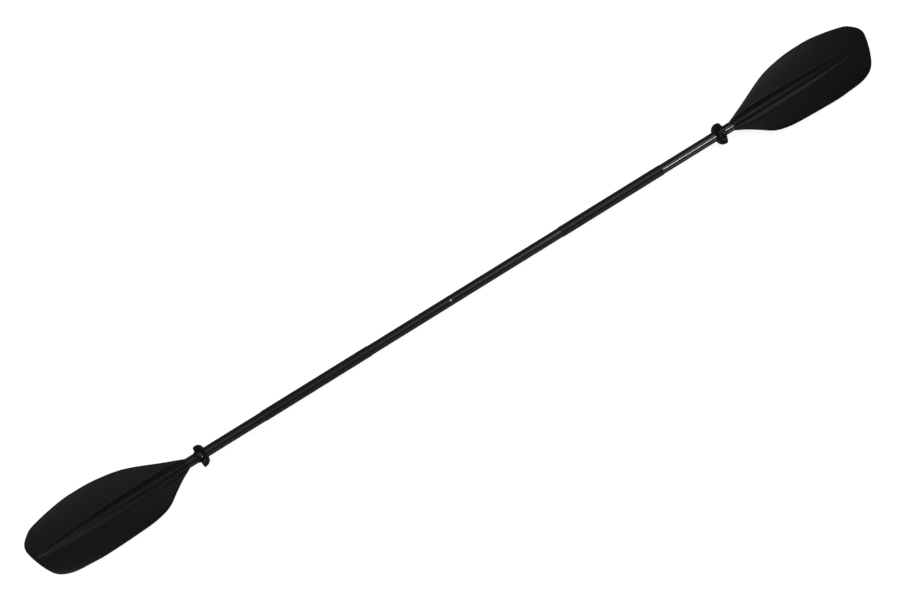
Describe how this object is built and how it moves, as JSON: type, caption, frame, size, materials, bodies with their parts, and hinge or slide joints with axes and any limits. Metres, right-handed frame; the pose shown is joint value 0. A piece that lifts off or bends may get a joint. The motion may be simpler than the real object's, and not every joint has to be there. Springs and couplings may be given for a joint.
{
  "type": "kayak paddle",
  "caption": "Double-bladed kayak paddle with ribbed asymmetric blades, a tube shaft with grip sleeves, drip rings and snap-button joints that let it come apart and feather.",
  "frame": {"origin": "on the shaft axis, where the two half shafts meet", "axes": "+X along the shaft towards the right blade, +Y towards the long blade edges, +Z out of the ribbed backs of the blades"},
  "size_m": [2.3, 0.1603, 0.058],
  "materials": {
    "blade_plastic": "satin moulded black",
    "shaft_alloy": "gloss black anodised",
    "grip_sleeve": "matt heat-shrunk sleeve",
    "drip_rubber": "glossy moulded rubber",
    "spigot_laminate": "gloss dark green glass laminate",
    "ferrule_laminate": "satin slate grey laminate",
    "spring_steel": "bright stainless",
    "bung_rubber": "matt rubber",
    "closed_cell_foam": "closed-cell foam"
  },
  "bodies": {
    "shaft_left": {"shaft_tube_left": "shaft_alloy", "grip_sleeve_left": "grip_sleeve", "foam_bulkhead_left_outer": "closed_cell_foam", "foam_bulkhead_left_inner": "closed_cell_foam"},
    "blade_left": {"blade_left": "blade_plastic", "blade_spigot_left": "spigot_laminate", "blade_bung_left": "bung_rubber"},
    "clip_left": {"blade_snap_clip_left": "spring_steel"},
    "ring_left": {"drip_ring_left": "drip_rubber"},
    "centre_plug": {"centre_bung": "bung_rubber"},
    "shaft_right": {"shaft_tube_right": "shaft_alloy", "grip_sleeve_right": "grip_sleeve", "foam_bulkhead_right_outer": "closed_cell_foam", "foam_bulkhead_right_inner": "closed_cell_foam", "centre_ferrule": "ferrule_laminate"},
    "clip_centre": {"centre_snap_clip": "spring_steel"},
    "ring_right": {"drip_ring_right": "drip_rubber"},
    "blade_right": {"blade_right": "blade_plastic", "blade_spigot_right": "spigot_laminate", "blade_bung_right": "bung_rubber"},
    "clip_right": {"blade_snap_clip_right": "spring_steel"}
  },
  "joints": [
    {"name": "blade_left_pull", "type": "slide", "parent": "shaft_left", "child": "blade_left", "axis": [-1, 0, 0], "range_m": [0, 0.12], "deforming": ["blade_snap_clip_left"]},
    {"name": "blade_left_button", "type": "slide", "parent": "blade_left", "child": "clip_left", "axis": [0, 0.6018, -0.7986], "range_m": [0, 0.0026], "stiffness_N_per_m": 3000, "deforming": ["blade_snap_clip_left"]},
    {"name": "drip_ring_left_slide", "type": "slide", "parent": "shaft_left", "child": "ring_left", "axis": [1, 0, 0], "range_m": [-0.023, 0.14]},
    {"name": "centre_pull", "type": "slide", "parent": "shaft_left", "child": "centre_plug", "axis": [1, 0, 0], "range_m": [0, 0.12], "deforming": ["centre_snap_clip"]},
    {"name": "centre_feather", "type": "hinge", "parent": "centre_plug", "child": "shaft_right", "pos_m": [0, 0, 0], "axis": [1, 0, 0], "range_deg": [-60, 60], "deforming": ["centre_snap_clip"]},
    {"name": "centre_button", "type": "slide", "parent": "shaft_right", "child": "clip_centre", "axis": [0, 0, -1], "range_m": [0, 0.0026], "stiffness_N_per_m": 3000, "deforming": ["centre_snap_clip"]},
    {"name": "drip_ring_right_slide", "type": "slide", "parent": "shaft_right", "child": "ring_right", "axis": [-1, 0, 0], "range_m": [-0.023, 0.14]},
    {"name": "blade_right_pull", "type": "slide", "parent": "shaft_right", "child": "blade_right", "axis": [1, 0, 0], "range_m": [0, 0.12], "deforming": ["blade_snap_clip_right"]},
    {"name": "blade_right_button", "type": "slide", "parent": "blade_right", "child": "clip_right", "axis": [0, -0.6018, -0.7986], "range_m": [0, 0.0026], "stiffness_N_per_m": 3000, "deforming": ["blade_snap_clip_right"]}
  ]
}
